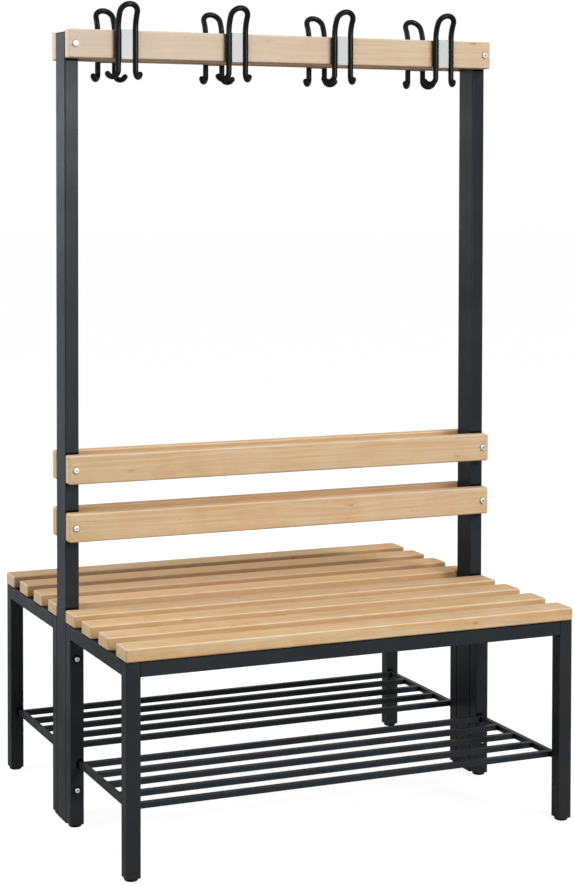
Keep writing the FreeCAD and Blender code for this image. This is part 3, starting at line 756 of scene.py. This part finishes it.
def build_floor(reach, tone, glow_share):
    corners = [(-reach, -reach, 0), (reach, -reach, 0), (reach, reach, 0), (-reach, reach, 0)]
    mesh = bpy.data.meshes.new("studio_floor")
    mesh.from_pydata(corners, [], [(0, 1, 2, 3)])
    floor = bpy.data.objects.new("studio_floor", mesh)
    bpy.context.scene.collection.objects.link(floor)
    material = bpy.data.materials.new("pale_floor")
    material.use_nodes = True
    tree = material.node_tree
    tree.nodes.clear()
    paper = add_node(tree, "ShaderNodeBsdfDiffuse", {"Color": (tone, tone, tone, 1)})
    strength = maths(tree, "MULTIPLY", seen_directly(tree), glow_share)
    glow = add_node(tree, "ShaderNodeEmission", {"Strength": strength})
    both = add_node(tree, "ShaderNodeAddShader", {0: paper.outputs[0], 1: glow.outputs[0]})
    add_node(tree, "ShaderNodeOutputMaterial", {"Surface": both.outputs[0]})
    mesh.materials.append(material)


def build_world(low_fill, high_fill):
    world = bpy.data.worlds.new("white_studio")
    bpy.context.scene.world = world
    world.use_nodes = True
    tree = world.node_tree
    tree.nodes.clear()
    direction = add_node(tree, "ShaderNodeTexCoord").outputs["Generated"]
    fill = remap(tree, axes(tree, direction)[2], 0.0, 1.0, low_fill, high_fill)
    strength = maths(tree, "MAXIMUM", seen_directly(tree), fill)
    sky = add_node(tree, "ShaderNodeBackground", {"Color": (1, 1, 1, 1), "Strength": strength})
    add_node(tree, "ShaderNodeOutputWorld", {"Surface": sky.outputs[0]})


build_floor(reach=60.0, tone=0.25, glow_share=0.865)
build_world(low_fill=0.20, high_fill=0.28)
print("white studio:", bpy.context.scene.world.name)

# %% [markdown]
# The main light comes from the front right and above: in the photograph the hooks shade the rail on
# their left. A wide sun lights near and far floor alike, so the background has no grey band.
# Softboxes in front, on the left and behind lift the sides that it misses. Satin tubes also mirror
# what stands round them, and in the photograph the posts grow lighter towards their tops. Three
# cards, which are lamps that show in gloss alone, do that without lighting the wood.

# %% Studio lamps
FLOOR_CENTRE, BENCH_MIDDLE = (0, 0, 0), (0, 0, 0.8)
CARD_TINT = (0.88, 1.0, 1.1)


def aim(item, place, target):
    """Puts a lamp at a place and points it at a target."""
    item.location = place
    item.rotation_euler = (Vector(target) - Vector(place)).to_track_quat("-Z", "Y").to_euler()
    item.visible_camera = False
    bpy.context.scene.collection.objects.link(item)


def wide_sun(name, place, strength, spread):
    """A sun that is a number of degrees wide."""
    lamp = bpy.data.lights.new(name, "SUN")
    lamp.energy = strength
    lamp.angle = math.radians(spread)
    aim(bpy.data.objects.new(name, lamp), place, FLOOR_CENTRE)


def softbox(name, place, width, height, watts, card=False):
    """A large area lamp that points at the middle of the bench; a card only shows in gloss."""
    lamp = bpy.data.lights.new(name, "AREA")
    lamp.shape = "RECTANGLE"
    lamp.size = width
    lamp.size_y = height
    lamp.energy = watts
    if card:
        lamp.color = CARD_TINT
    box = bpy.data.objects.new(name, lamp)
    box.visible_diffuse = not card
    aim(box, place, BENCH_MIDDLE)


wide_sun("key_light", (2.0, -3.5, 2.85), strength=1.4, spread=14)
softbox("front_softbox", (0.5, -3.1, 1.9), width=0.5, height=1.4, watts=48)
softbox("left_softbox", (-3.2, 0.7, 2.5), width=2.0, height=2.4, watts=82)
softbox("rear_left_softbox", (-1.5, 3.3, 2.0), width=1.2, height=1.6, watts=20)
softbox("rear_right_softbox", (2.4, 3.6, 2.2), width=2.4, height=2.4, watts=34)
softbox("high_front_card", (0.45, -3.1, 2.25), width=0.6, height=1.4, watts=58, card=True)
softbox("low_front_card", (0.45, -3.1, 0.7), width=0.6, height=1.2, watts=10, card=True)
softbox("rear_left_card", (-1.05, 1.5, 1.15), width=0.6, height=2.2, watts=7, card=True)

# %% [markdown]
# ## Camera
# The photograph looks from the left and a little from above, with a long lens. Its framing is off
# the lens axis, so the camera is shifted as well as turned.

# %% Camera
PHOTO_WIDTH, PHOTO_HEIGHT = 575, 886
FOCAL_PIXELS = 1907.65
SENSOR = 36.0
CAMERA_PLACE = (-1.74359, -3.80546, 1.32754)
TILT_DOWN, TURN_RIGHT = 1.8, 0.379094    # in degrees, and in radians
FRAME_SHIFT = (0.12, -0.21552)

camera_data = bpy.data.cameras.new("photo_camera")
camera_data.sensor_width = SENSOR
camera_data.lens = FOCAL_PIXELS * SENSOR / max(PHOTO_WIDTH, PHOTO_HEIGHT)
camera_data.shift_x, camera_data.shift_y = FRAME_SHIFT
camera = bpy.data.objects.new("photo_camera", camera_data)
camera.location = CAMERA_PLACE
camera.rotation_euler = (math.radians(90.0 - TILT_DOWN), 0.0, -TURN_RIGHT)
bpy.context.scene.collection.objects.link(camera)
bpy.context.scene.camera = camera
print("lens:", round(camera_data.lens, 2), "mm")

# %% [markdown]
# ## Finish
# Standard colour keeps each tone as it was written.

# %% Colour
bpy.context.scene.view_settings.view_transform = "Standard"
